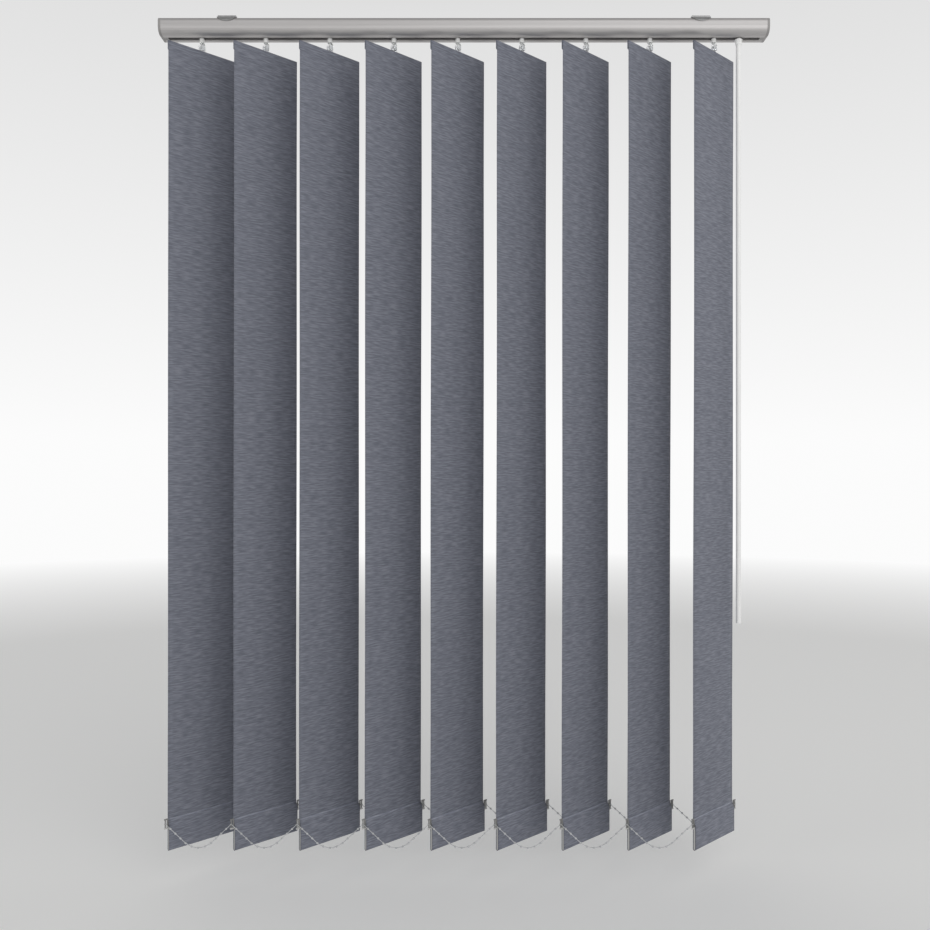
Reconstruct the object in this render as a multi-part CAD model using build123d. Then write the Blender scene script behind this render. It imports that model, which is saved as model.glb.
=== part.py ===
from build123d import *
import math
import os

# Vertical blind with a wand. The ceiling is the plane z = 0, the rail runs along x
# and the room is on the side of negative y.

# Whole blind
drop = 1000.0               # ceiling to the lower edge of the vanes
rail_length = 736.0         # over both end caps
vane_count = 9
first_hook_inset = 48.6     # rail end to the first hook
last_hook_inset = 63.4      # last hook to the other rail end
wand_offset = 30.2          # last hook to the wand
rest_angle = 44.5           # degrees between the vanes and the window

# Clearances
slide_gap = 0.1             # between parts that slide on each other
run_gap = 0.05              # radial, shaft in its bore
loose_gap = 0.3             # between parts that pass without touching

# Headrail
rail_depth = 34.0
rail_height = 19.5
rail_wall = 1.4
shoulder_radius = 5.0
belly_radius = 9.0
slot_width = 7.4
lip_height = 3.0            # rail underside to the running track
rib_height = 2.0            # the two hooked ribs on top that the clips hold
rib_web = 1.0
rib_spread = 16.0           # over both webs
flange_width = 3.0
flange_thickness = 0.8

# Ceiling clips
clip_plate = 1.2
clip_length = 22.0
clip_width = 26.0
clip_inset = 82.0           # rail end to the screw
screw_radius = 2.25
tongue_width = 24.0         # rounded jaw over the rail's front shoulder
tongue_wall = 1.0
tongue_drop = 5.2           # rail top to the lowest point of the jaw
tongue_round = 15.0
tongue_web = 1.6

# End caps
cap_thickness = 3.0
plug_length = 5.0
plug_depth = 22.0

# Tilt rod and the sleeves on it
rod_radius = 1.9            # over the corners of the hexagon
rod_play = 0.6              # at each end of the rod
sleeve_radius = 2.6         # over the corners of the hexagon

# Tilt gears: pinion on the rod, toothed part of a crown wheel on each hook
gear_module = 1.2
pinion_teeth = 6
crown_teeth = 11            # counted round the whole wheel
teeth_ahead = 2             # teeth that the wheel has on each side of its rest place
teeth_behind = 5
crown_face = 1.6
crown_disc = 1.2
addendum_share = 0.65       # of the module
dedendum_share = 1.0        # of the module
tip_share = 0.17            # tooth width at its tip, of one tooth pitch
foot_share = 0.46           # tooth width at its foot, of one tooth pitch
half_share = 0.5            # of one step

# Wand gears: crown wheel on the rod, pinion on the wand stem
wand_module = 0.7
wand_pinion_teeth = 6
wand_crown_teeth = 12
wand_gear_face = 1.6
wand_hub = 2.0              # over the corners, carries the stem on its carrier
wand_hub_height = 0.6

# Carriers
round_sides = 12            # flats that stand for a small round outside
carrier_length = 19.4
carrier_width = 22.0
carrier_base = 1.8
carrier_wall = 1.3
carrier_wall_width = 15.6
carrier_wall_rise = 3.6     # above the rod's axis
neck_top_radius = 2.6
neck_foot_radius = 3.3
neck_drop = 5.0             # below the rail
link_reach = 7.3            # spacer arm, past the hook of the next carrier
link_width = 2.0
link_thickness = 0.25
link_step = 0.35            # one layer of spacer arms above another
link_layers = 5
link_rib = 0.9
link_root = 4.0
lead_bar_width = 6.0
lead_bar_height = 2.0

# Hook
stem_radius = 1.8
blade_width = 5.0
blade_thickness = 1.6
blade_offset = 2.2          # each leg of the hook from the vane's plane
blade_root = 0.5            # stem end to the first bend
blade_jog = 2.2
hook_tip = 2.9              # free leg, above the cross bar

# Hanger in the top of each vane
hanger_inset = 5.5          # vane edge to the end of the hanger
hanger_height = 9.0
hanger_thickness = 1.2
tab_width = 8.4
tab_rise = 5.5              # above the vane
eye_width = 6.2
eye_height = 3.0

# Vane
vane_width = 89.0
vane_gap = 14.8             # rail underside to the top of the vanes
fabric = 0.45
top_pocket = 10.0
pocket_slope = 1.6          # where the top pocket's rear layer runs to its weld
hem_slope = 8.0             # above the weight, where the hem's front layer runs to its weld
weld = 0.7
hem_height = 37.5
hem_gap = 3.0               # between the middles of the hem's two layers

# Hem weight
weight_thickness = 2.2
weight_height = 28.0
weight_inset = 0.5          # vane edge to the end of the weight
weight_chamfer = 0.6
post_reach = 3.9            # vane edge to the chain posts
ear_length = 5.0            # inside the hem
ear_gap = 0.5               # beside the vane's edge
ear_thickness = 1.4
ear_bar = 1.3
ear_height = 12.0           # over both prongs
ear_tip = 1.3               # prongs past the post
post_radius = 0.8
post_height = 32.4          # vane's lower edge to the chain

# Bottom chains
ring_radius = 1.6
ring_bore = 1.05
ring_height = 1.7
sag_share = 0.359           # of the distance between two posts
chain_angle = 43.0          # degrees, straight part of each span
bead_count = 11             # in each span
bead_size = 2.7
bead_depth = 1.6
chain_wire = 0.8

# Wand and the joint at its top
wand_radius = 3.0
wand_foot = 735.0           # ceiling to the lower end of the wand
stem_bore = 1.5
pivot_drop = 3.8            # rail underside to the pivot
socket_size = 1.85          # over the corners, radius
dog_size = 1.35             # over the corners, radius
dog_height = 1.4
dog_neck = 0.8
spigot_radius = 2.4
spigot_rise = 1.0           # above the pivot
spigot_drop = 2.2           # below the pivot
groove_radius = 1.9
groove_height = 1.4
prong_inner = 2.6
prong_outer = 3.4
prong_half = 1.0
prong_drop = 1.0
pivot_radius = 0.8
cup_radius = 4.9
cup_bore = 3.9
cup_rise = 2.6
cup_foot_radius = 3.7
cup_seat_radius = 2.9
wand_neck_radius = 2.4
wand_neck_gap = 1.9         # pivot to the underside of the neck

# Sizes and heights that follow from the values above
half_rail = rail_length / 2
vane_pitch = (rail_length - first_hook_inset - last_hook_inset) / (vane_count - 1)
hanger_length = vane_width - 2 * hanger_inset
weight_length = vane_width - 2 * weight_inset
ear_reach = vane_width / 2 + post_reach
chain_sag = sag_share * vane_pitch
rail_top = -(clip_plate + slide_gap + rib_height)
rail_bottom = rail_top - rail_height
track = rail_bottom + lip_height
base_top = track + slide_gap + carrier_base
crown_bottom = base_top + slide_gap
crown_foot = crown_bottom + crown_disc
pinion_pitch = gear_module * pinion_teeth / 2
crown_pitch = gear_module * crown_teeth / 2
rod_height = crown_foot + dedendum_share * gear_module + pinion_pitch
neck_foot = rail_bottom - neck_drop
vane_top = rail_bottom - vane_gap
bar_top = vane_top + tab_rise - blade_thickness - eye_height / 2
eye_top = bar_top + slide_gap
top_pocket_foot = vane_top - top_pocket
fabric_back = hanger_thickness / 2 + slide_gap / 2 + fabric / 2
hem_middle = fabric_back - hem_gap / 2
weight_foot = fabric + slide_gap - drop
weight_top = weight_foot + weight_height
pivot = rail_bottom - pivot_drop
first_hook = first_hook_inset - half_rail
hooks = [first_hook + index * vane_pitch for index in range(vane_count)]
wand_x = hooks[-1] + wand_offset


def box_between(low, high):
    size = [b - a for a, b in zip(low, high)]
    middle = [(a + b) / 2 for a, b in zip(low, high)]
    return Pos(*middle) * Box(*size)


def upright(radius, low, high):
    return Pos(0, 0, (low + high) / 2) * Cylinder(radius, high - low)


# Many-sided peg that narrows from its wider end
def tapered(sides, low_radius, low, high_radius, high):
    inward = abs(low_radius - high_radius) * math.cos(math.pi / sides)
    slope = math.degrees(math.atan2(inward, high - low))
    wide = RegularPolygon(max(low_radius, high_radius), sides)
    peg = extrude(wide, high - low, taper=slope)
    return Pos(0, 0, low) * peg if low_radius >= high_radius else Pos(0, 0, high) * Rot(180, 0, 0) * peg


# Many-sided stand-in for a small round hole, open for a pin of the given radius
def facets(radius):
    return RegularPolygon(radius, round_sides, major_radius=False)


def polygon(points):
    return make_face(Polyline(*points, close=True))


def along_x(section, start, end):
    return Pos(start, 0, 0) * extrude(Plane.YZ * section, end - start)


# Rail section with its wall moved inwards by the inset
def rail_outline(inset):
    width = rail_depth - 2 * inset
    height = rail_height - 2 * inset
    plain = Pos(0, (rail_top + rail_bottom) / 2) * Rectangle(width, height)
    shouldered = fillet(plain.vertices().group_by(Axis.Y)[-1], shoulder_radius - inset)
    return fillet(shouldered.vertices().group_by(Axis.Y)[0], belly_radius - inset)


def above_track(section):
    return section & Pos(0, (track + rail_top) / 2) * Rectangle(rail_depth, rail_top - track)


def slot_section():
    return Pos(0, (rail_bottom + track) / 2) * Rectangle(slot_width, lip_height)


def rib_section(side):
    web_y = side * (rib_spread - rib_web) / 2
    flange_y = side * (rib_spread - flange_width) / 2
    web = Pos(web_y, rail_top + rib_height / 2) * Rectangle(rib_web, rib_height)
    flange_z = rail_top + rib_height - flange_thickness / 2
    return web + Pos(flange_y, flange_z) * Rectangle(flange_width, flange_thickness)


def make_headrail():
    section = rail_outline(0) - above_track(rail_outline(rail_wall)) - slot_section()
    section = section + rib_section(-1) + rib_section(1)
    reach = half_rail - cap_thickness
    return along_x(section, -reach, reach)


# Jaw of a clip, bent round the rail's front shoulder
def make_tongue():
    bend_y = shoulder_radius - rail_depth / 2
    bend_z = rail_top - shoulder_radius
    inner = shoulder_radius + slide_gap
    ring = Pos(bend_y, bend_z) * (Circle(inner + tongue_wall) - Circle(inner))
    low = rail_top - tongue_drop
    front = Pos(bend_y - rail_depth / 2, low + rail_depth / 2) * Rectangle(rail_depth, rail_depth)
    web = Pos(bend_y, (rail_top + slide_gap - clip_plate) / 2)
    web *= Rectangle(tongue_web, abs(rail_top + slide_gap + clip_plate))
    jaw = along_x((ring & front) + web, -tongue_width / 2, tongue_width / 2)
    rounding = Rot(90, 0, 0) * Cylinder(tongue_round, 2 * rail_depth)
    return jaw & Pos(0, 0, low + tongue_round) * rounding


# T-shaped clip that slides between the ribs
def make_clip():
    throat = rib_spread - 2 * flange_width - 2 * slide_gap
    wings = rib_spread - 2 * rib_web - 2 * slide_gap
    neck_low = rail_top + rib_height - flange_thickness - slide_gap
    plate = box_between((-clip_length / 2, -clip_width / 2, -clip_plate),
                        (clip_length / 2, clip_width / 2, 0))
    neck = box_between((-clip_length / 2, -throat / 2, neck_low),
                       (clip_length / 2, throat / 2, -clip_plate))
    wing = box_between((-clip_length / 2, -wings / 2, rail_top + slide_gap),
                       (clip_length / 2, wings / 2, neck_low))
    return plate + neck + wing + make_tongue() - upright(screw_radius, rail_top, 0)


# End cap whose plug closes the slot and carries the rod
def make_end_cap(side):
    plate = along_x(rail_outline(0), half_rail - cap_thickness, half_rail)
    inner = half_rail - cap_thickness - plug_length
    plug = box_between((inner, -plug_depth / 2, track + slide_gap),
                       (half_rail - cap_thickness, plug_depth / 2, rail_top - rail_wall - slide_gap))
    tongue = box_between((inner, slide_gap - slot_width / 2, rail_bottom),
                         (half_rail - cap_thickness, slot_width / 2 - slide_gap, track + slide_gap))
    seat = Pos(0, rod_height) * Circle(rod_radius + run_gap)
    cap = plate + plug + tongue - along_x(seat, inner, half_rail - cap_thickness)
    return cap if side > 0 else Rot(0, 0, 180) * cap


def make_rod():
    reach = half_rail - cap_thickness - rod_play
    return along_x(Pos(0, rod_height) * RegularPolygon(rod_radius, 6), -reach, reach)


# Outline of a spur gear with one tooth on the -y side
def gear_outline(module, teeth):
    pitch = module * teeth / 2
    tip = pitch + addendum_share * module
    foot = pitch - dedendum_share * module
    step = 2 * math.pi / teeth
    points = []
    for tooth in range(teeth):
        middle = tooth * step - math.pi / 2
        for radius, share in ((foot, -foot_share), (tip, -tip_share), (tip, tip_share), (foot, foot_share)):
            angle = middle + share * step * pitch / radius / 2
            points.append((radius * math.cos(angle), radius * math.sin(angle)))
    return polygon(points)


# Crown wheel standing on z = 0, toothed at the given places, with a gap on the +x side at place 0
def make_crown(module, teeth, face, disc, places):
    pitch = module * teeth / 2
    step = math.pi * module
    top = disc + (addendum_share + dedendum_share) * module
    foot_half = foot_share * step / 2
    tip_half = tip_share * step / 2
    section = polygon([(-foot_half, disc), (foot_half, disc), (tip_half, top), (-tip_half, top)])
    tooth = along_x(section, pitch - face / 2, pitch + face / 2)
    rim = RegularPolygon(pitch + face / 2, teeth, major_radius=False)
    plate = Rot(0, 0, 180 / teeth) * extrude(rim, disc)
    turned = [Rot(0, 0, 360 * (place + half_share) / teeth) * tooth for place in places]
    return plate.fuse(*turned)


# Sleeve on the rod: the pinion of one carrier, level with its hook at x = 0
def make_sleeve():
    reach = carrier_length / 2 - carrier_wall - slide_gap
    tube = along_x(RegularPolygon(sleeve_radius, 6), -reach, reach)
    teeth = along_x(gear_outline(gear_module, pinion_teeth), crown_pitch - crown_face / 2, reach)
    bore = along_x(RegularPolygon(rod_radius + slide_gap, 6), -reach, reach)
    return Pos(0, 0, rod_height) * (tube + teeth - bore)


# Spacer arm from the left end of a carrier to the next carrier on its right
def spacer_arm(layer):
    left = -carrier_length / 2
    lane = carrier_width / 2 - link_rib
    inner = lane - slide_gap - link_width
    low = base_top + slide_gap + layer * link_step
    high = low + link_thickness
    top = base_top + slide_gap + link_layers * link_step
    rib = box_between((left, lane, base_top), (left + link_root, lane + link_rib, top))
    root = box_between((left, inner, low), (left + link_root, lane, high))
    arm = box_between((left, inner, low), (vane_pitch + link_reach, lane - slide_gap, high))
    return rib + root + arm


# Low bar on the room side of a carrier, up to the part beside it
def side_bar(start):
    low = track + slide_gap
    return box_between((start, -carrier_width / 2, low),
                       (-carrier_length / 2, lead_bar_width - carrier_width / 2, low + lead_bar_height))


# Moulded cradle of a carrier with its hook axis on z
def make_cradle():
    half = carrier_length / 2
    low = track + slide_gap
    cradle = box_between((-half, -carrier_width / 2, low), (half, carrier_width / 2, base_top))
    top = rod_height + carrier_wall_rise
    for start in (-half, half - carrier_wall):
        cradle += box_between((start, -carrier_wall_width / 2, base_top),
                              (start + carrier_wall, carrier_wall_width / 2, top))
    passage = rod_radius + loose_gap
    return cradle - box_between((-half, -passage, rod_height - passage), (half, passage, top))


# The first carrier is kept off the end cap by its bar, and the last one needs no arm
def make_carrier(index):
    neck = tapered(round_sides, neck_foot_radius, neck_foot, neck_top_radius, track + slide_gap)
    carrier = make_cradle() + neck - upright(stem_radius + run_gap, neck_foot, base_top)
    if index == 0:
        carrier += side_bar(cap_thickness + plug_length - half_rail - hooks[0])
    if index < vane_count - 1:
        carrier += spacer_arm(index % link_layers)
    return Pos(hooks[index], 0, 0) * carrier


# Hooked blade in the plane across the vane
def make_blade():
    start = neck_foot - slide_gap
    jog_top = start - blade_root
    jog_foot = jog_top - blade_jog
    bar = bar_top - blade_thickness / 2
    path = Polyline((0, start), (0, jog_top), (-blade_offset, jog_foot), (-blade_offset, bar),
                    (blade_offset, bar), (blade_offset, bar + hook_tip))
    return extrude(Plane.YZ * trace(path, blade_thickness), blade_width / 2, both=True)


# Hook with its crown wheel, and the hanger that it carries
def make_hook():
    places = range(-teeth_behind, teeth_ahead)
    crown = make_crown(gear_module, crown_teeth, crown_face, crown_disc, places)
    crown = Pos(0, 0, crown_bottom) * Rot(0, 0, -rest_angle) * crown
    stem = tapered(round_sides, stem_radius, neck_foot - blade_thickness, stem_radius, crown_bottom)
    return crown + stem + make_blade()


def make_hanger():
    low = vane_top - hanger_height - fabric
    half = hanger_thickness / 2
    plate = box_between((-hanger_length / 2, -half, low), (hanger_length / 2, half, vane_top - 2 * fabric))
    tab = box_between((-tab_width / 2, -half, low), (tab_width / 2, half, vane_top + tab_rise))
    eye = box_between((-eye_width / 2, -half, eye_top - eye_height), (eye_width / 2, half, eye_top))
    return plate + tab - eye


# One strip of fabric with pressed folds: over the hanger to the back, and round the weight to the front
def make_vane():
    face = fabric_back - fabric / 2
    back = fabric_back + fabric / 2
    foot = top_pocket_foot - pocket_slope
    hem_face = hem_middle - (hem_gap - fabric) / 2
    hem_front = hem_face - fabric
    hem_top = hem_height - drop
    flap = hem_top - hem_slope
    cut = fabric / 2
    outline = polygon([
        (-back, vane_top - cut), (cut - back, vane_top), (back - cut, vane_top), (back, vane_top - cut),
        (back, top_pocket_foot), (-face, foot), (back, hem_top), (back, cut - drop), (back - cut, -drop),
        (hem_front + cut, -drop), (hem_front, cut - drop), (hem_front, flap), (face, hem_top),
    ])
    top_pocket_hole = polygon([(-face, vane_top - fabric), (face, vane_top - fabric),
                               (face, top_pocket_foot), (-face, foot + weld)])
    hem_hole = polygon([(hem_face, fabric - drop), (face, fabric - drop), (face, hem_top - weld),
                        (hem_face, flap)])
    cloth = along_x(outline - top_pocket_hole - hem_hole, -vane_width / 2, vane_width / 2)
    slit_half = tab_width / 2 + slide_gap
    slit = box_between((-slit_half, -face, vane_top - fabric), (slit_half, face, vane_top))
    return cloth - slit


# Clip at one end of the weight: a spine beside the vane, two prongs and the post for a chain
def make_ear(side):
    middle = post_height - drop
    half = ear_thickness / 2
    near = weight_length / 2 - ear_length
    spine = vane_width / 2 + ear_gap
    tip = ear_reach + ear_tip
    low = middle - ear_height / 2
    high = middle + ear_height / 2
    ear = box_between((near, -half, low), (spine, half, weight_top))
    ear += box_between((spine, -half, low), (spine + ear_bar, half, high))
    ear += box_between((spine, -half, low), (tip, half, low + ear_bar))
    ear += box_between((spine, -half, high - ear_bar), (tip, half, high))
    post = extrude(RegularPolygon(post_radius, 6), ear_height - 2 * ear_bar)
    ear += Pos(ear_reach, 0, low + ear_bar) * post
    return ear if side > 0 else Rot(0, 0, 180) * ear


def make_weight():
    half = weight_thickness / 2
    cut = weight_chamfer
    section = polygon([(cut - half, weight_foot), (half - cut, weight_foot), (half, weight_foot + cut),
                       (half, weight_top), (-half, weight_top), (-half, weight_foot + cut)])
    bar = along_x(section, -weight_length / 2, weight_length / 2)
    return Pos(0, hem_middle, 0) * (bar + make_ear(-1) + make_ear(1))


# Points at equal steps along one span of chain, from post to post
def chain_points(steps):
    angle = math.radians(chain_angle)
    half = vane_pitch / 2
    bend = (half * math.tan(angle) - chain_sag) / (1 / math.cos(angle) - 1)
    straight = (half - bend * math.sin(angle)) / math.cos(angle)
    total = 2 * (straight + bend * angle)
    points = []
    for index in range(steps + 1):
        way = abs(index / steps - half_share) * total
        turn = min(way / bend, angle)
        over = max(way - bend * angle, 0)
        across = bend * math.sin(turn) + over * math.cos(angle)
        lift = bend * (1 - math.cos(turn)) + over * math.sin(angle)
        side = 1 if index / steps > half_share else -1
        points.append((half + side * across, lift - chain_sag))
    return points


# Beads and the waists between them, cut as one flat string from ring to ring
def make_span():
    points = chain_points(2 * bead_count + 2)
    points[0] = (ring_radius, points[0][1])
    points[-1] = (vane_pitch - ring_radius, points[-1][1])
    upper = []
    lower = []
    for index, (x, z) in enumerate(points):
        before = points[max(index - 1, 0)]
        after = points[min(index + 1, len(points) - 1)]
        slope = math.atan2(after[1] - before[1], after[0] - before[0])
        half = bead_size / 2 if index % 2 == 0 and 0 < index < len(points) - 1 else chain_wire / 2
        upper.append((x - half * math.sin(slope), z + half * math.cos(slope)))
        lower.append((x + half * math.sin(slope), z - half * math.cos(slope)))
    return extrude(Plane.XZ * polygon(upper + lower[::-1]), bead_depth / 2, both=True)


# Place of a chain post in the rest pose, seen from its hook
def post_place(side):
    angle = math.radians(rest_angle)
    across = side * ear_reach
    return (across * math.cos(angle) - hem_middle * math.sin(angle),
            across * math.sin(angle) + hem_middle * math.cos(angle))


def make_chain(side):
    x, y = post_place(side)
    height = post_height - drop
    outline = RegularPolygon(ring_radius, 6) - RegularPolygon(ring_bore, 6)
    ring = extrude(outline, ring_height / 2, both=True)
    first = Cylinder(ring_radius, ring_height) - Cylinder(ring_bore, ring_height)
    span = make_span()
    pieces = [Pos(hooks[0], 0, 0) * first]
    pieces += [Pos(place, 0, 0) * ring for place in hooks[1:]]
    pieces += [Pos(place, 0, 0) * span for place in hooks[:-1]]
    return Pos(x, y, height) * pieces[0].fuse(*pieces[1:])


# Sleeve with the crown wheel that the wand turns
def make_wand_sleeve():
    reach = carrier_length / 2 - carrier_wall - slide_gap
    disc_x = -wand_module * wand_pinion_teeth / 2 - dedendum_share * wand_module
    disc = wand_module
    crown = make_crown(wand_module, wand_crown_teeth, wand_gear_face, disc, range(wand_crown_teeth))
    crown = Pos(disc_x - disc, 0, 0) * Rot(0, 90, 0) * crown
    tube = along_x(RegularPolygon(sleeve_radius, 6), -reach, reach)
    bore = along_x(RegularPolygon(rod_radius + slide_gap, 6), -reach, reach)
    return Pos(wand_x, 0, rod_height) * (crown + tube - bore)


# Wand carrier with the neck and prongs that hold the cup
def make_wand_carrier():
    cradle = make_cradle()
    neck_low = pivot + wand_neck_gap
    cradle += tapered(round_sides, wand_neck_radius, neck_low, wand_neck_radius, track + slide_gap)
    cradle += box_between((-prong_half, -prong_outer, neck_low),
                          (prong_half, prong_outer, track + slide_gap))
    for side in (-1, 1):
        near, far = sorted((side * prong_inner, side * prong_outer))
        cradle += box_between((-prong_half, near, pivot - prong_drop), (prong_half, far, neck_low))
        pin = Rot(90, 0, 0) * Cylinder(pivot_radius, cup_radius - prong_inner - loose_gap)
        cradle += Pos(0, side * (prong_inner + cup_radius - loose_gap) / 2, pivot) * pin
    cradle -= upright(stem_bore + run_gap, pivot, base_top)
    return Pos(wand_x, 0, 0) * (cradle + side_bar(carrier_length / 2 - wand_offset))


# Wand stem: pinion at the top, driving dog at the pivot
def make_wand_stem():
    pitch_height = rod_height - wand_module * wand_crown_teeth / 2
    low = pitch_height - wand_gear_face / 2
    outline = Rot(0, 0, -90) * gear_outline(wand_module, wand_pinion_teeth)
    pinion = Pos(0, 0, low) * extrude(outline, wand_gear_face)
    pinion += Pos(0, 0, base_top + slide_gap) * extrude(RegularPolygon(wand_hub, 6), wand_hub_height)
    shaft = tapered(round_sides, stem_bore, pivot + wand_neck_gap, stem_bore, low)
    thin = Pos(0, 0, pivot) * extrude(RegularPolygon(dog_neck, 6), wand_neck_gap)
    dog = Pos(0, 0, pivot - dog_height / 2) * extrude(RegularPolygon(dog_size, 6), dog_height)
    return Pos(wand_x, 0, 0) * (pinion + shaft + thin + dog)


# Flared cup that swings on the prongs and holds the wand by its groove
def make_wand_cup():
    foot = -spigot_drop - groove_height + slide_gap
    flange = -spigot_drop - slide_gap
    cup = tapered(round_sides, cup_foot_radius, foot, cup_radius, cup_rise)
    cup -= tapered(round_sides, cup_seat_radius, flange, cup_bore, -prong_drop - loose_gap)
    cup -= tapered(round_sides, cup_bore, -prong_drop - loose_gap, cup_bore, cup_rise)
    cup -= Pos(0, 0, foot) * extrude(facets(groove_radius + run_gap), flange - foot)
    cup -= extrude(Plane.XZ * facets(pivot_radius + run_gap), cup_radius, both=True)
    return Pos(wand_x, 0, pivot) * cup


def make_wand():
    foot = -wand_foot - pivot
    groove_low = -spigot_drop - groove_height
    section = polygon([
        (0, spigot_rise), (spigot_radius, spigot_rise), (spigot_radius, -spigot_drop),
        (groove_radius, -spigot_drop), (groove_radius, groove_low), (wand_radius, groove_low),
        (wand_radius, foot), (0, foot),
    ])
    stick = revolve(Plane.XZ * section, Axis.Z)
    socket = extrude(RegularPolygon(socket_size, 6), spigot_drop + spigot_rise)
    return Pos(wand_x, 0, pivot) * (stick - Pos(0, 0, slide_gap - spigot_drop) * socket)


def hang(shape, index):
    return Pos(hooks[index], 0, 0) * Rot(0, 0, rest_angle) * shape


def main():
    os.makedirs("parts", exist_ok=True)
    clip_x = half_rail - clip_inset
    nodes = {
        "headrail": make_headrail(),
        "end_cap_left": make_end_cap(-1),
        "end_cap_right": make_end_cap(1),
        "clip_left": Pos(-clip_x, 0, 0) * make_clip(),
        "clip_right": Pos(clip_x, 0, 0) * make_clip(),
        "tilt_rod": make_rod(),
        "chain_front": make_chain(-1),
        "chain_rear": make_chain(1),
        "wand_carrier": make_wand_carrier(),
        "wand_sleeve": make_wand_sleeve(),
        "wand_stem": make_wand_stem(),
        "wand_cup": make_wand_cup(),
        "wand": make_wand(),
    }
    sleeve = make_sleeve()
    hook = make_hook()
    hanger = make_hanger()
    cloth = make_vane()
    weight = make_weight()
    for index in range(vane_count):
        number = index + 1
        nodes[f"carrier_{number}"] = make_carrier(index)
        nodes[f"sleeve_{number}"] = Pos(hooks[index], 0, 0) * sleeve
        nodes[f"hook_{number}"] = Compound([hang(hook, index), hang(hanger, index)])
        nodes[f"vane_{number}"] = hang(cloth, index)
        nodes[f"weight_{number}"] = hang(weight, index)
    for name, shape in nodes.items():
        export_step(shape, f"parts/{name}.step")


main()
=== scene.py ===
import bpy, bmesh, math
from mathutils import Matrix, Vector


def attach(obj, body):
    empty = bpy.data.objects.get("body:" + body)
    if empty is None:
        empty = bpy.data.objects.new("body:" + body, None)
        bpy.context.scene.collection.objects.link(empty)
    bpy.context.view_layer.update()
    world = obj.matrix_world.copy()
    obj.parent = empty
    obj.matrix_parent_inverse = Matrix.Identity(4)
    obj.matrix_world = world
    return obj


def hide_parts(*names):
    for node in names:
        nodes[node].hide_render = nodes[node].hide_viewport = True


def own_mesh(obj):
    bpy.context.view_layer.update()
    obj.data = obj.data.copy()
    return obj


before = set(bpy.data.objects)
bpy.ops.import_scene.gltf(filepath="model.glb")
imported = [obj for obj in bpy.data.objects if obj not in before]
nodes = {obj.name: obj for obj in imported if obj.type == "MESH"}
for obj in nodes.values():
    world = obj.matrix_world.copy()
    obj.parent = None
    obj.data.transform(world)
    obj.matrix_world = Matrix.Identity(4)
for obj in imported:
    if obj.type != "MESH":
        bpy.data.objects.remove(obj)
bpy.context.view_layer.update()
scene = bpy.context.scene
print("frame loaded:", len(nodes), "nodes")

# the same places as in the part, in metres
blind = {
    "vanes": 9,
    "pitch": 0.078,
    "firstHook": -0.3194,
    "angle": math.radians(44.5),  # how far the vanes stand open
    "foot": -1.0,  # lower edge of the vanes
    "near": 0.0001,  # places closer than this count as one
}
hookPlaces = [blind["firstHook"] + i * blind["pitch"] for i in range(blind["vanes"])]


def hangMatrix(index):
    turn = Matrix.Rotation(blind["angle"], 4, "Z")
    return Matrix.Translation((hookPlaces[index], 0, 0)) @ turn


# node helpers
def newFinish(name):
    mat = bpy.data.materials.new(name)
    mat.use_nodes = True
    tree = mat.node_tree
    return mat, tree, tree.nodes["Principled BSDF"]


def addNode(tree, kind, **settings):
    node = tree.nodes.new(kind)
    for key, value in settings.items():
        if hasattr(node, key):
            setattr(node, key, value)
        else:
            node.inputs[key].default_value = value
    return node


def mapped(tree, source, scale=(1, 1, 1)):
    coords = addNode(tree, "ShaderNodeTexCoord")
    place = addNode(tree, "ShaderNodeMapping", Scale=scale)
    tree.links.new(coords.outputs[source], place.inputs["Vector"])
    return place.outputs["Vector"]


def noiseOn(tree, vector, scale=1, detail=2, rough=0.5):
    noise = addNode(tree, "ShaderNodeTexNoise", Scale=scale, Detail=detail, Roughness=rough)
    tree.links.new(vector, noise.inputs["Vector"])
    return noise.outputs["Fac"]


def rampOn(tree, factor, stops):
    ramp = addNode(tree, "ShaderNodeValToRGB")
    band = ramp.color_ramp
    while len(band.elements) < len(stops):
        band.elements.new(0.5)
    for element, (at, colour) in zip(band.elements, stops):
        element.position = at
        element.color = (*colour, 1)
    tree.links.new(factor, ramp.inputs["Fac"])
    return ramp.outputs["Color"]


def mathOn(tree, operation, first, second):
    node = addNode(tree, "ShaderNodeMath", operation=operation)
    for socket, value in zip(node.inputs, (first, second)):
        if isinstance(value, (int, float)):
            socket.default_value = value
        else:
            tree.links.new(value, socket)
    return node.outputs["Value"]


def colourOn(tree, shader, factor, stops):
    tree.links.new(rampOn(tree, factor, stops), shader.inputs["Base Color"])


def roughOn(tree, shader, grain, spread, least):
    rough = mathOn(tree, "ADD", mathOn(tree, "MULTIPLY", grain, spread), least)
    tree.links.new(rough, shader.inputs["Roughness"])


def bumpOn(tree, shader, height, strength, distance):
    bump = addNode(tree, "ShaderNodeBump", Strength=strength, Distance=distance)
    tree.links.new(height, bump.inputs["Height"])
    tree.links.new(bump.outputs["Normal"], shader.inputs["Normal"])


def heightOn(tree, low, high):
    split = addNode(tree, "ShaderNodeSeparateXYZ")
    tree.links.new(mapped(tree, "Object"), split.inputs["Vector"])
    above = mathOn(tree, "SUBTRACT", split.outputs["Z"], low)
    return mathOn(tree, "DIVIDE", above, high - low)


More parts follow.
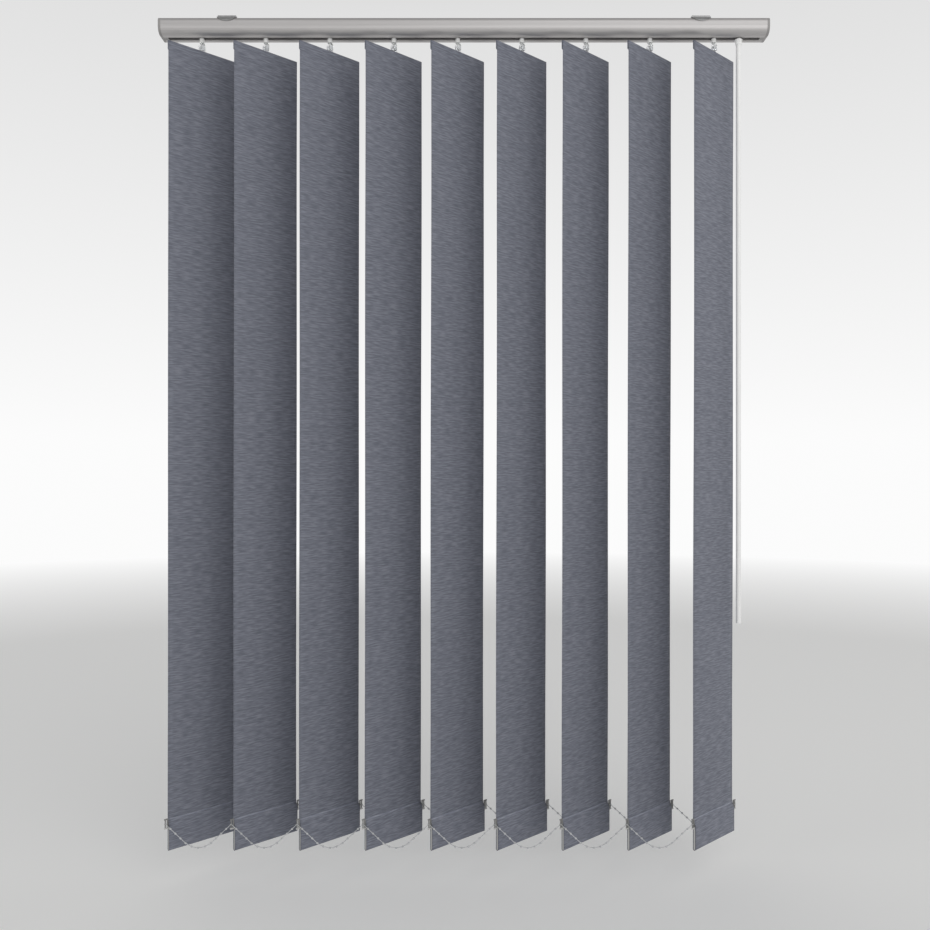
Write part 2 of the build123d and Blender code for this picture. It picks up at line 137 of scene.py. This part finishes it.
# cloth with slubs along the weft, lifted or darkened into copies that carry painted light:
# highlights on the weld, the hem and the cut edges, and painted shade on the hem's cut edges
clothFinish = {
    "dark": (0.150, 0.160, 0.195),
    "mid": (0.192, 0.202, 0.242),
    "light": (0.245, 0.256, 0.299),
    "stops": ((0.36, "dark"), (0.50, "mid"), (0.64, "light")),
    "slub": (78, 680, 1),
    "slubDetail": 1.2,
    "slubRough": 0.55,
    "slubShare": 0.8,
    "cloud": (16, 190, 1),
    "cloudShare": 0.2,
    "weave": (("X", 95), ("Y", 75)),  # warp and weft
    "weaveShare": 0.18,
    "roughSpread": 0.16,
    "roughLeast": 0.74,
    "specular": 0.2,
    "sheen": 0.06,
    "sheenRough": 0.5,
    "bump": 0.4,
    "bumpDepth": 0.0002,
}


def slubCloth(name, lift):
    c = clothFinish
    mat, tree, shader = newFinish(name)
    slub = noiseOn(tree, mapped(tree, "UV", c["slub"]), 1, c["slubDetail"], c["slubRough"])
    cloud = noiseOn(tree, mapped(tree, "UV", c["cloud"]))
    slubPart = mathOn(tree, "MULTIPLY", slub, c["slubShare"])
    cloudPart = mathOn(tree, "MULTIPLY", cloud, c["cloudShare"])
    # a lift above 1 paints light into the cloth, below 1 paints shade
    stops = [(at, [lift * v for v in c[tone]]) for at, tone in c["stops"]]
    colourOn(tree, shader, mathOn(tree, "ADD", slubPart, cloudPart), stops)
    roughOn(tree, shader, slub, c["roughSpread"], c["roughLeast"])
    shader.inputs["Specular IOR Level"].default_value = c["specular"]
    shader.inputs["Sheen Weight"].default_value = c["sheen"]
    shader.inputs["Sheen Roughness"].default_value = c["sheenRough"]
    height = slub
    for across, size in c["weave"]:
        wave = addNode(tree, "ShaderNodeTexWave", wave_type="BANDS", bands_direction=across)
        wave.inputs["Scale"].default_value = size
        tree.links.new(mapped(tree, "UV"), wave.inputs["Vector"])
        threads = mathOn(tree, "MULTIPLY", wave.outputs["Fac"], c["weaveShare"])
        height = mathOn(tree, "ADD", height, threads)
    bumpOn(tree, shader, height, c["bump"], c["bumpDepth"])
    return mat


# satin aluminium, drawn along the rail
railFinish = {
    "stops": ((0.3, (0.50, 0.485, 0.48)), (0.7, (0.57, 0.555, 0.55))),
    "grain": (4, 900, 900),
    "detail": 3,
    "grainRough": 0.6,
    "roughSpread": 0.10,
    "roughLeast": 0.42,
    "metal": 0.85,
    "bump": 0.12,
    "bumpDepth": 0.00005,
}


def satinRail():
    c = railFinish
    mat, tree, shader = newFinish("satinRail")
    grain = noiseOn(tree, mapped(tree, "Object", c["grain"]), 1, c["detail"], c["grainRough"])
    colourOn(tree, shader, grain, c["stops"])
    roughOn(tree, shader, grain, c["roughSpread"], c["roughLeast"])
    shader.inputs["Metallic"].default_value = c["metal"]
    bumpOn(tree, shader, grain, c["bump"], c["bumpDepth"])
    return mat


# moulded plastic, of one tone or of two with a change at some height; on the carriers and the
# weight the darker upper tone is painted shade
plasticFinish = {
    "grain": 1400,
    "cloud": 45,
    "cloudFrom": 0.35,
    "cloudTo": 0.65,
    "changeFrom": 0.45,
    "changeTo": 0.55,
    "roughSpread": 0.1,
    "bump": 0.05,
    "bumpDepth": 0.00005,
}
# the carriers are white; the near-black tone above about -0.0225 m is painted shade inside the
# rail's slot
carrierToneAndSlotShade = {
    "low": (0.84, 0.84, 0.83),
    "high": (0.055, 0.055, 0.055),
    "from": -0.0240,
    "to": -0.0210,
}
# the weight's coat is white, greyed in both tones with painted shade; the tone above about -0.972
# m, at the top and the ears, is darker still
weightTonesAndShade = {
    "low": (0.60, 0.60, 0.59),
    "high": (0.24, 0.24, 0.235),
    "from": -0.9730,
    "to": -0.9710,
}


def grainSurface(tree, shader, rough, grainSize, bump):
    c = plasticFinish
    grain = noiseOn(tree, mapped(tree, "Object"), grainSize)
    roughOn(tree, shader, grain, c["roughSpread"], rough)
    bumpOn(tree, shader, grain, bump, c["bumpDepth"])


def moulded(name, low, high, rough, grain=plasticFinish["grain"], bump=plasticFinish["bump"]):
    c = plasticFinish
    mat, tree, shader = newFinish(name)
    cloud = noiseOn(tree, mapped(tree, "Object"), c["cloud"])
    colourOn(tree, shader, cloud, [(c["cloudFrom"], low), (c["cloudTo"], high)])
    grainSurface(tree, shader, rough, grain, bump)
    return mat


def toneAndShadeByHeight(name, tones, rough):
    c = plasticFinish
    mat, tree, shader = newFinish(name)
    share = heightOn(tree, tones["from"], tones["to"])
    stops = [(c["changeFrom"], tones["low"]), (c["changeTo"], tones["high"])]
    colourOn(tree, shader, share, stops)
    grainSurface(tree, shader, rough, c["grain"], c["bump"])
    return mat


# clear hooks, milky where they go into the hanger
clearFinish = {
    "low": (0.90, 0.91, 0.92),
    "high": (0.97, 0.98, 0.98),
    "from": -0.0330,
    "to": -0.0300,
    "milky": 0.5,
    "cloud": 260,
    "roughSpread": 0.12,
    "roughLeast": 0.03,
    "transmission": 0.7,
    "ior": 1.3,
}


def clearPlastic():
    c = clearFinish
    mat, tree, shader = newFinish("clearPlastic")
    share = heightOn(tree, c["from"], c["to"])
    colourOn(tree, shader, share, [(0, c["low"]), (1, c["high"])])
    cloud = noiseOn(tree, mapped(tree, "Object"), c["cloud"])
    milky = rampOn(tree, share, [(0, (c["milky"],) * 3), (1, (0, 0, 0))])
    roughOn(tree, shader, cloud, c["roughSpread"], mathOn(tree, "ADD", milky, c["roughLeast"]))
    shader.inputs["Transmission Weight"].default_value = c["transmission"]
    shader.inputs["IOR"].default_value = c["ior"]
    return mat


# zinc-plated clips and the rod
steelFinish = {
    "grain": (300, 40, 300),
    "detail": 3,
    "grainRough": 0.6,
    "from": 0.3,
    "to": 0.7,
    "roughSpread": 0.2,
    "roughLeast": 0.28,
    "metal": 0.9,
}


def platedSteel(name, low, high):
    c = steelFinish
    mat, tree, shader = newFinish(name)
    grain = noiseOn(tree, mapped(tree, "Object", c["grain"]), 1, c["detail"], c["grainRough"])
    colourOn(tree, shader, grain, [(c["from"], low), (c["to"], high)])
    roughOn(tree, shader, grain, c["roughSpread"], c["roughLeast"])
    shader.inputs["Metallic"].default_value = c["metal"]
    return mat


finishes = {
    "cloth": slubCloth("slubCloth", 1.0),
    # cut edges painted 1.2 times lighter: a painted highlight where they catch the light
    "edgeHighlight": slubCloth("cutEdgePaintedHighlight", 1.2),
    # the hem painted 1.08 times lighter than the cloth above it: painted light
    "hemPaintedLight": slubCloth("hemClothPaintedLight", 1.08),
    # the hem's cut edges painted 0.25 times as light: painted shade of the open hem pocket
    "hemEdgePaintedShade": slubCloth("hemEdgePaintedShade", 0.25),
    # the weld strip at the hem's top painted 1.5 times lighter: a painted highlight on the fold
    "weld": slubCloth("weldedCloth", 1.5),
    "rail": satinRail(),
    "cap": moulded("capPlastic", (0.30, 0.29, 0.285), (0.35, 0.34, 0.335), 0.42),
    "clip": platedSteel("zincClip", (0.34, 0.34, 0.34), (0.44, 0.44, 0.44)),
    "rod": platedSteel("rodMetal", (0.50, 0.50, 0.52), (0.62, 0.62, 0.64)),
    "white": moulded("whitePlastic", (0.80, 0.80, 0.79), (0.85, 0.85, 0.84), 0.30),
    "carrier": toneAndShadeByHeight("carrierPlasticAndSlotShade", carrierToneAndSlotShade, 0.34),
    "wand": moulded("wandPlastic", (0.90, 0.90, 0.89), (0.93, 0.93, 0.92), 0.22, 900, 0.03),
    "clear": clearPlastic(),
    "weight": toneAndShadeByHeight("weightCoatAndShade", weightTonesAndShade, 0.36),
    "bead": moulded("beadPlastic", (0.52, 0.53, 0.54), (0.60, 0.61, 0.62), 0.25),
}
print("finishes ready:", len(finishes))


def wear(obj, finish):
    obj.data.materials.clear()
    obj.data.materials.append(finishes[finish])


# the longest name that a node starts with gives its finish
nodeFinish = {
    "headrail": "rail",
    "end_cap": "cap",
    "clip": "clip",
    "tilt_rod": "rod",
    "carrier": "carrier",
    "wand_carrier": "carrier",
    "sleeve": "white",
    "wand_sleeve": "white",
    "wand_stem": "white",
    "wand_cup": "wand",
    "wand": "wand",
    "hook": "clear",
    "weight": "weight",
    "chain": "bead",
    "vane": "cloth",
}
for name, obj in nodes.items():
    kinds = [k for k in nodeFinish if name.startswith(k)]
    wear(obj, nodeFinish[max(kinds, key=len)])


# vanes: one strip of cloth each, folded over the hanger and round the weight
vaneCloth = {
    "width": 0.089,
    "cut": 1.0152,  # length of the flat strip
    "thickness": 0.00045,
    "top": -0.0376,
    "back": 0.000875,  # half the depth of the top pocket
    "pocketFoot": -0.0476,
    "slope": 0.0016,
    "hemTop": -0.9625,
    "hemGap": 0.003,
    "hemSlope": 0.008,
    # height of the weld strip, which carries a painted highlight
    "weld": 0.0018,
    "columns": 12,
    "rows": 80,
    "topSteps": 8,
    "footSteps": 10,
    "sharp": math.radians(28),
    "patternStep": (0.31, 0.77),  # each vane is cut from another place
    "wave": 0.00035,  # lean of the hanging cloth
    "waveTurns": (21, 9, 1.9),  # across, down and from vane to vane
    "waveTop": 0.02,
    "waveFoot": 0.01,
    "waveFade": 0.12,
}
# the slots after the cloth carry painted light: a highlight on the cut edges, the hem and the
# weld, and painted shade on the hem's cut edges
clothSlots = ["cloth", "edgeHighlight", "hemPaintedLight", "hemEdgePaintedShade", "weld"]  # a cut edge takes the next slot


def drawOn(bm, vert, place):
    new = bmesh.ops.extrude_vert_indiv(bm, verts=[vert])["verts"][0]
    new.co = place
    return new


def bendOn(bm, vert, centre, angle, steps):
    spun = bmesh.ops.spin(
        bm, geom=[vert], cent=centre, axis=(1, 0, 0), angle=angle, steps=steps
    )
    return [g for g in spun["geom_last"] if isinstance(g, bmesh.types.BMVert)][0]


def stripSection(bm):
    c = vaneCloth
    left = -c["width"] / 2
    back, thick = c["back"], c["thickness"]
    hemFront = back - c["hemGap"]
    hemMiddle = (back + hemFront) / 2
    topBend = c["top"] - thick / 2 - back
    footBend = blind["foot"] + thick / 2 + c["hemGap"] / 2
    vert = bm.verts.new((left, thick - back, c["pocketFoot"] - c["slope"]))  # weld behind the top
    vert = drawOn(bm, vert, (left, back, c["pocketFoot"]))
    vert = drawOn(bm, vert, (left, back, topBend))
    vert = bendOn(bm, vert, (left, 0, topBend), math.pi, c["topSteps"])
    turn = vert
    vert = drawOn(bm, vert, (left, back, c["hemTop"]))
    longRun = [e for e in turn.link_edges if vert in e.verts]
    vert = drawOn(bm, vert, (left, back, footBend))
    vert = bendOn(bm, vert, (left, hemMiddle, footBend), -math.pi, c["footSteps"])
    vert = drawOn(bm, vert, (left, hemFront, c["hemTop"] - c["hemSlope"]))
    vert = drawOn(bm, vert, (left, back - thick, c["hemTop"] - c["weld"]))
    drawOn(bm, vert, (left, back - thick, c["hemTop"]))
    bmesh.ops.subdivide_edges(bm, edges=longRun, cuts=c["rows"])


def widen(bm, width, columns):
    edges = bm.edges[:]
    for step in range(columns):
        out = bmesh.ops.extrude_edge_only(bm, edges=edges)["geom"]
        verts = [g for g in out if isinstance(g, bmesh.types.BMVert)]
        drawn = [g for g in out if isinstance(g, bmesh.types.BMEdge)]
        edges = [e for e in drawn if all(v in verts for v in e.verts)]
        bmesh.ops.translate(bm, verts=verts, vec=(width / columns, 0, 0))


# height of a place on the strip once it is laid flat
def stripLength(co):
    c = vaneCloth
    if co.z > c["pocketFoot"] - c["slope"] - blind["near"] and co.y > 0:
        return 2 * c["top"] - co.z
    if co.z < c["hemTop"] + blind["near"] and co.y < c["back"] - c["thickness"] / 2:
        return 2 * blind["foot"] - co.z
    return co.z


# faces of the hem get its copy with painted light, and the front faces at the weld get the copy
# with a painted highlight
def clothPart(face):
    c = vaneCloth
    if any(v.co.z > c["hemTop"] + blind["near"] for v in face.verts):
        return "cloth"
    front = all(v.co.y < c["back"] - c["thickness"] / 2 for v in face.verts)
    weldMiddle = c["hemTop"] - c["weld"] / 2
    welded = all(abs(v.co.z - weldMiddle) < c["weld"] for v in face.verts)
    return "weld" if front and welded else "hemPaintedLight"


def leanCloth(bm, index):
    c = vaneCloth
    across, down, step = c["waveTurns"]
    for vert in bm.verts:
        fromTop = (c["top"] - c["waveTop"] - vert.co.z) / c["waveFade"]
        fromHem = (vert.co.z - c["hemTop"] - c["waveFoot"]) / c["waveFade"]
        share = min(max(fromTop, 0), 1) * min(max(fromHem, 0), 1)
        turns = down * vert.co.z + across * vert.co.x + step * index
        vert.co.y += share * c["wave"] * math.sin(turns)


def makeVane(index):
    c = vaneCloth
    bm = bmesh.new()
    stripSection(bm)
    widen(bm, c["width"], c["columns"])
    uv = bm.loops.layers.uv.new("clothUV")
    across, along = [index * step for step in c["patternStep"]]
    for face in bm.faces:
        face.smooth = True
        face.material_index = clothSlots.index(clothPart(face))
        for loop in face.loops:
            co = loop.vert.co
            loop[uv].uv = (co.x + across, stripLength(co) + along)
    leanCloth(bm, index)
    bmesh.ops.recalc_face_normals(bm, faces=bm.faces)
    bmesh.ops.transform(bm, matrix=hangMatrix(index), verts=bm.verts)
    mesh = bpy.data.meshes.new(f"cloth_{index + 1}")
    bm.to_mesh(mesh)
    bm.free()
    mesh.set_sharp_from_angle(angle=c["sharp"])
    obj = bpy.data.objects.new(f"cloth_{index + 1}", mesh)
    scene.collection.objects.link(obj)
    wall = obj.modifiers.new("clothThickness", "SOLIDIFY")
    wall.thickness = c["thickness"]
    wall.offset = 0
    wall.material_offset_rim = 1
    for part in clothSlots:
        mesh.materials.append(finishes[part])
    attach(obj, f"blade_{index + 1}")
    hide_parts(f"vane_{index + 1}")
    return obj


cloths = [makeVane(i) for i in range(blind["vanes"])]
print("vanes hung:", len(cloths))


# bottom chains of round beads
chainSizes = {
    "sag": 0.028,
    "slope": math.radians(43),
    "beads": 11,  # in each span
    "bead": 0.0027,
    "beadShape": (0.9, 0.9, 1.08, 1),  # a little longer than thick
    "beadSides": (8, 6),
    "link": 0.0004,
    "linkSides": 5,
    "ring": 0.0013,
    "ringSteps": 14,
    "wire": 0.00026,
    "wireSides": 6,
    "reach": 0.0484,  # from the hook's axis to the ear
    "hemMiddle": -0.000625,
    "height": 0.0324,  # ears above the foot
    "gathered": 20 / 78,  # pitch of the gathered vanes against the hung ones
}


# a span is two straight runs with a bend between them
def spanPoint(way):
    c = chainSizes
    half = blind["pitch"] / 2
    bend = (half * math.tan(c["slope"]) - c["sag"]) / (1 / math.cos(c["slope"]) - 1)
    straight = (half - bend * math.sin(c["slope"])) / math.cos(c["slope"])
    run = (way - 0.5) * 2 * (straight + bend * c["slope"])
    turn = min(abs(run) / bend, c["slope"])
    over = max(abs(run) - bend * c["slope"], 0)
    across = bend * math.sin(turn) + over * math.cos(c["slope"])
    lift = bend * (1 - math.cos(turn)) + over * math.sin(c["slope"])
    return Vector((half + math.copysign(across, run), 0, lift - c["sag"]))


def aimed(place, direction):
    turn = direction.to_track_quat("Z", "Y").to_matrix().to_4x4()
    return Matrix.Translation(place) @ turn


def addSpan(bm, here, places):
    c = chainSizes
    around, down = c["beadSides"]
    for a, b in zip(places, places[1:]):
        bmesh.ops.create_cone(
            bm, segments=c["linkSides"], radius1=c["link"], radius2=c["link"],
            depth=(b - a).length, matrix=aimed(here + (a + b) / 2, b - a)
        )
    for before, spot, after in zip(places, places[1:], places[2:]):
        shape = aimed(here + spot, after - before) @ Matrix.Diagonal(c["beadShape"])
        bmesh.ops.create_uvsphere(
            bm, u_segments=around, v_segments=down, radius=c["bead"] / 2, matrix=shape
        )


def addRing(bm, here):
    c = chainSizes
    side = Matrix.Translation(here + Vector((c["ring"], 0, 0)))
    wire = side @ Matrix.Rotation(math.pi / 2, 4, "X")
    loop = bmesh.ops.create_circle(
        bm, segments=c["wireSides"], radius=c["wire"], matrix=wire
    )["verts"]
    edges = []
    for vert in loop:
        edges += [e for e in vert.link_edges if e not in edges]
    bmesh.ops.spin(
        bm, geom=loop + edges, cent=here, axis=(0, 0, 1),
        angle=2 * math.pi, steps=c["ringSteps"], use_merge=True
    )


def makeChain(name, side, node, body):
    c = chainSizes
    cos, sin = math.cos(blind["angle"]), math.sin(blind["angle"])
    reach, middle = side * c["reach"], c["hemMiddle"]
    earX, earY = reach * cos - middle * sin, reach * sin + middle * cos
    post = Vector((earX, earY, blind["foot"] + c["height"]))
    bm = bmesh.new()
    places = [spanPoint(i / (c["beads"] + 1)) for i in range(c["beads"] + 2)]
    for start in hookPlaces[:-1]:
        addSpan(bm, post + Vector((start, 0, 0)), places)
    for start in hookPlaces:
        addRing(bm, post + Vector((start, 0, 0)))
    for face in bm.faces:
        face.smooth = True
    bmesh.ops.recalc_face_normals(bm, faces=bm.faces)
    mesh = bpy.data.meshes.new(name)
    bm.to_mesh(mesh)
    bm.free()
    obj = bpy.data.objects.new(name, mesh)
    scene.collection.objects.link(obj)
    wear(obj, "bead")
    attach(obj, body)
    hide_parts(node)
    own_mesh(obj)
    return obj


makeChain("beadsFront", -1, "chain_front", "front_chain")
makeChain("beadsRear", 1, "chain_rear", "rear_chain")
print("chains strung")


# studio
studio = {
    "camera": (0.0013, -1.172, -0.545),
    "lens": 37.2,
    "sensor": 36,
    "shift": 0.0024,
    "floor": -1.035,
    "floorSize": 30,
    "floorTone": (0.94, 0.94, 0.93, 1),
    "floorRough": 0.9,
    "glow": (0.97, 0.97, 0.97, 1),
    "pale": 0.12,  # share of the glow that the eye and reflections see close by
    "fadeReach": 4.5,  # metres to where the floor is all glow
    "fade": ((0.42, (0, 0, 0)), (1.0, (1, 1, 1))),
    "key": (1.1, -2.2, 0.3),
    "keyAim": (0, 0, -0.5),
    "keySize": 2.2,
    "keyPower": 11,
    "dome": ((0.03, 0.97), (0.42, 0.75), (0.75, 0.45), (1.0, 0.35)),
}


def addCamera():
    data = bpy.data.cameras.new("viewCamera")
    data.lens = studio["lens"]
    data.sensor_width = studio["sensor"]
    data.shift_y = studio["shift"]
    cam = bpy.data.objects.new("viewCamera", data)
    cam.location = studio["camera"]
    cam.rotation_euler = (math.pi / 2, 0, 0)
    scene.collection.objects.link(cam)
    scene.camera = cam


def addLamp(name, place, size, power, target):
    data = bpy.data.lights.new(name, "AREA")
    data.shape = "SQUARE"
    data.size = size
    data.energy = power
    lamp = bpy.data.objects.new(name, data)
    lamp.location = place
    aim = Vector(target) - Vector(place)
    lamp.rotation_euler = aim.to_track_quat("-Z", "Y").to_euler()
    scene.collection.objects.link(lamp)


def addDome():
    world = bpy.data.worlds.new("studioWorld")
    world.use_nodes = True
    scene.world = world
    tree = world.node_tree
    coords = addNode(tree, "ShaderNodeTexCoord")
    split = addNode(tree, "ShaderNodeSeparateXYZ")
    tree.links.new(coords.outputs["Generated"], split.inputs["Vector"])
    stops = [(at, (tone,) * 3) for at, tone in studio["dome"]]
    dome = rampOn(tree, split.outputs["Z"], stops)
    tree.links.new(dome, tree.nodes["Background"].inputs["Color"])


# pale floor that glows in the distance and keeps the shadow close by
def paleFloor():
    mat, tree, shader = newFinish("paleFloor")
    shader.inputs["Base Color"].default_value = studio["floorTone"]
    shader.inputs["Roughness"].default_value = studio["floorRough"]
    away = addNode(tree, "ShaderNodeVectorMath", operation="LENGTH")
    tree.links.new(mapped(tree, "Object"), away.inputs[0])
    distance = mathOn(tree, "DIVIDE", away.outputs["Value"], studio["fadeReach"])
    far = rampOn(tree, distance, studio["fade"])
    rays = addNode(tree, "ShaderNodeLightPath").outputs
    seen = mathOn(tree, "MAXIMUM", rays["Is Glossy Ray"], rays["Is Transmission Ray"])
    seen = mathOn(tree, "MAXIMUM", rays["Is Camera Ray"], seen)
    share = mathOn(tree, "MAXIMUM", far, mathOn(tree, "MULTIPLY", seen, studio["pale"]))
    glow = addNode(tree, "ShaderNodeEmission", Color=studio["glow"])
    mix = addNode(tree, "ShaderNodeMixShader")
    for source, socket in zip((share, shader.outputs[0], glow.outputs[0]), mix.inputs):
        tree.links.new(source, socket)
    tree.links.new(mix.outputs[0], tree.nodes["Material Output"].inputs["Surface"])
    return mat


def addFloor():
    bm = bmesh.new()
    bmesh.ops.create_grid(bm, x_segments=2, y_segments=2, size=studio["floorSize"] / 2)
    bmesh.ops.translate(bm, verts=bm.verts, vec=(0, 0, studio["floor"]))
    mesh = bpy.data.meshes.new("paleFloor")
    bm.to_mesh(mesh)
    bm.free()
    floor = bpy.data.objects.new("paleFloor", mesh)
    scene.collection.objects.link(floor)
    mesh.materials.append(paleFloor())


addCamera()
addLamp("keyLamp", studio["key"], studio["keySize"], studio["keyPower"], studio["keyAim"])
addDome()
addFloor()
scene.view_settings.view_transform = "Standard"
print("studio set")
